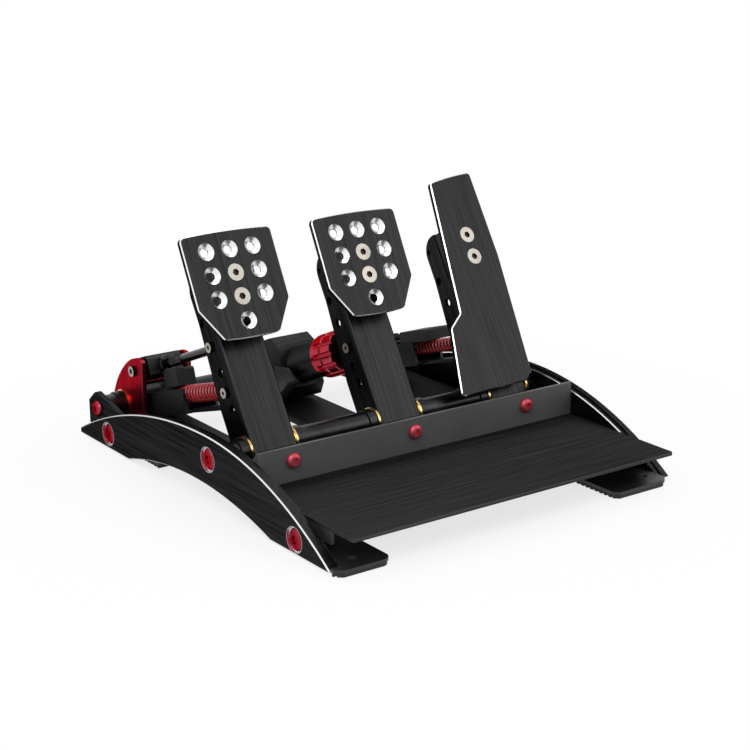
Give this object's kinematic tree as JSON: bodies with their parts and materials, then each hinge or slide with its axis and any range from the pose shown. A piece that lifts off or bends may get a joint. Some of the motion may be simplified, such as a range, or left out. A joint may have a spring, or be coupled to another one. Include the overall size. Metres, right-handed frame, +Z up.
{
  "type": "sim racing pedal set",
  "caption": "Free-standing racing simulator pedal set: drilled clutch and brake pedals and a tall throttle on arched side rails with a heel plate.",
  "frame": {"origin": "on the floor, under the middle of the set", "axes": "+Z up, -Y towards the driver, +X to the driver's right"},
  "size_m": [0.38, 0.4506, 0.2461],
  "materials": {
    "black_anodised": "brushed black anodised",
    "satin_black": "satin",
    "black_steel": "gloss black",
    "red_anodised": "satin red anodised",
    "red_spring": "gloss red paint",
    "brass": "polished",
    "nickel": "nickel plated",
    "rubber": "matte",
    "black_plastic": "fine texture"
  },
  "bodies": {
    "frame": {"left_outer_rail": "black_anodised", "left_inner_rail": "black_anodised", "right_outer_rail": "black_anodised", "right_inner_rail": "black_anodised", "rail_screws": "red_anodised", "front_tube": "satin_black", "rear_tube": "satin_black", "tube_collars": "satin_black", "cross_strip": "satin_black", "strip_screws": "red_anodised", "heel_plate": "black_anodised", "heel_brackets": "satin_black", "left_front_foot": "satin_black", "right_front_foot": "satin_black", "rear_feet": "satin_black", "foot_pads": "rubber", "clutch_base": "satin_black", "brake_base": "satin_black", "throttle_base": "satin_black", "control_box": "black_plastic"},
    "clutch_pedal": {"clutch_arm": "black_anodised", "clutch_bushings": "brass", "clutch_pins": "nickel", "clutch_plate": "black_anodised", "clutch_mount": "black_anodised", "clutch_plate_screws": "nickel"},
    "clutch_push_rod": {"clutch_rod": "black_steel"},
    "clutch_lever": {"clutch_lever": "red_anodised", "clutch_lever_bar": "red_anodised", "clutch_lever_bushings": "brass", "trunnion_screws": "nickel"},
    "clutch_trunnion": {"clutch_trunnion": "satin_black", "clutch_rod_nut": "black_steel"},
    "clutch_spring_unit": {"clutch_cradle": "satin_black", "clutch_sensor": "black_plastic", "clutch_spring": "red_spring"},
    "clutch_spring_guide": {"clutch_guide": "black_steel"},
    "brake_pedal": {"brake_arm": "black_anodised", "brake_bushings": "brass", "brake_pins": "nickel", "brake_plate": "black_anodised", "brake_mount": "black_anodised", "brake_plate_screws": "nickel"},
    "brake_unit": {"brake_housing": "satin_black", "brake_cylinder": "satin_black", "load_cell": "black_steel", "brake_elastomer": "rubber", "brake_sensor_bracket": "satin_black"},
    "brake_piston": {"brake_rod": "black_steel"},
    "brake_preload_knob": {"brake_knob": "red_anodised"},
    "throttle_pedal": {"throttle_arm": "black_anodised", "throttle_bushings": "brass", "throttle_pins": "nickel", "throttle_plate": "black_anodised", "throttle_mount": "black_anodised", "throttle_plate_screws": "nickel"},
    "throttle_spring_unit": {"throttle_cradle": "satin_black", "throttle_sensor": "black_plastic", "throttle_spring": "red_spring"},
    "throttle_spring_guide": {"throttle_guide": "black_steel"}
  },
  "joints": [
    {"name": "clutch_pedal_hinge", "type": "hinge", "parent": "frame", "child": "clutch_pedal", "pos_m": [-0.1277, -0.02195, 0.044], "axis": [-1, 0, 0], "range_deg": [0, 16], "stiffness_Nm_per_rad": 20, "springref_deg": -6.88},
    {"name": "clutch_rod_swing", "type": "hinge", "parent": "clutch_pedal", "child": "clutch_push_rod", "pos_m": [-0.1277, 0.03391, 0.12681], "axis": [1, 0, 0], "range_deg": [0, 26]},
    {"name": "clutch_lever_hinge", "type": "hinge", "parent": "frame", "child": "clutch_lever", "pos_m": [-0.1277, 0.19785, 0.0323], "axis": [-1, 0, 0], "range_deg": [0, 33]},
    {"name": "clutch_trunnion_swivel", "type": "hinge", "parent": "clutch_lever", "child": "clutch_trunnion", "pos_m": [-0.1277, 0.17525, 0.0708], "axis": [1, 0, 0], "range_deg": [0, 42]},
    {"name": "clutch_unit_swing", "type": "hinge", "parent": "frame", "child": "clutch_spring_unit", "pos_m": [-0.1277, 0.19785, 0.0323], "axis": [1, 0, 0], "range_deg": [0, 2]},
    {"name": "clutch_guide_slide", "type": "slide", "parent": "clutch_spring_unit", "child": "clutch_spring_guide", "axis": [0, 0.956, -0.2934], "range_m": [0, 0.0145], "deforming": ["clutch_spring"]},
    {"name": "brake_pedal_hinge", "type": "hinge", "parent": "frame", "child": "brake_pedal", "pos_m": [0.0117, -0.02195, 0.044], "axis": [-1, 0, 0], "range_deg": [0, 8], "stiffness_Nm_per_rad": 60, "springref_deg": -3.44},
    {"name": "brake_unit_swing", "type": "hinge", "parent": "frame", "child": "brake_unit", "pos_m": [0.0117, 0.19785, 0.0323], "axis": [1, 0, 0], "range_deg": [0, 0.75]},
    {"name": "brake_rod_slide", "type": "slide", "parent": "brake_unit", "child": "brake_piston", "axis": [0, 0.9243, -0.3817], "range_m": [0, 0.0102], "deforming": ["brake_elastomer"]},
    {"name": "brake_knob_turn", "type": "hinge", "parent": "brake_unit", "child": "brake_preload_knob", "pos_m": [0.0117, 0.19785, 0.0323], "axis": [0, -0.9243, 0.3817], "range_deg": [-180, 180]},
    {"name": "throttle_pedal_hinge", "type": "hinge", "parent": "frame", "child": "throttle_pedal", "pos_m": [0.1432, -0.02195, 0.044], "axis": [-1, 0, 0], "range_deg": [0, 16], "stiffness_Nm_per_rad": 14, "springref_deg": -6.88},
    {"name": "throttle_unit_swing", "type": "hinge", "parent": "frame", "child": "throttle_spring_unit", "pos_m": [0.1432, 0.19785, 0.0323], "axis": [1, 0, 0], "range_deg": [0, 2]},
    {"name": "throttle_guide_slide", "type": "slide", "parent": "throttle_spring_unit", "child": "throttle_spring_guide", "axis": [0, 0.956, -0.2934], "range_m": [0, 0.0145], "deforming": ["throttle_spring"]}
  ],
  "couplings": [
    {"joint": "clutch_rod_swing", "follows": "clutch_pedal_hinge", "ratio": 1.5947},
    {"joint": "clutch_lever_hinge", "follows": "clutch_pedal_hinge", "ratio": 2},
    {"joint": "clutch_trunnion_swivel", "follows": "clutch_pedal_hinge", "ratio": 2.5947},
    {"joint": "clutch_unit_swing", "follows": "clutch_pedal_hinge", "ratio": 0.11977},
    {"joint": "clutch_guide_slide", "follows": "clutch_pedal_hinge", "m_per_rad": 0.050807},
    {"joint": "brake_unit_swing", "follows": "brake_pedal_hinge", "ratio": 0.08936},
    {"joint": "brake_rod_slide", "follows": "brake_pedal_hinge", "m_per_rad": 0.072174},
    {"joint": "throttle_unit_swing", "follows": "throttle_pedal_hinge", "ratio": 0.11977},
    {"joint": "throttle_guide_slide", "follows": "throttle_pedal_hinge", "m_per_rad": 0.050807}
  ]
}
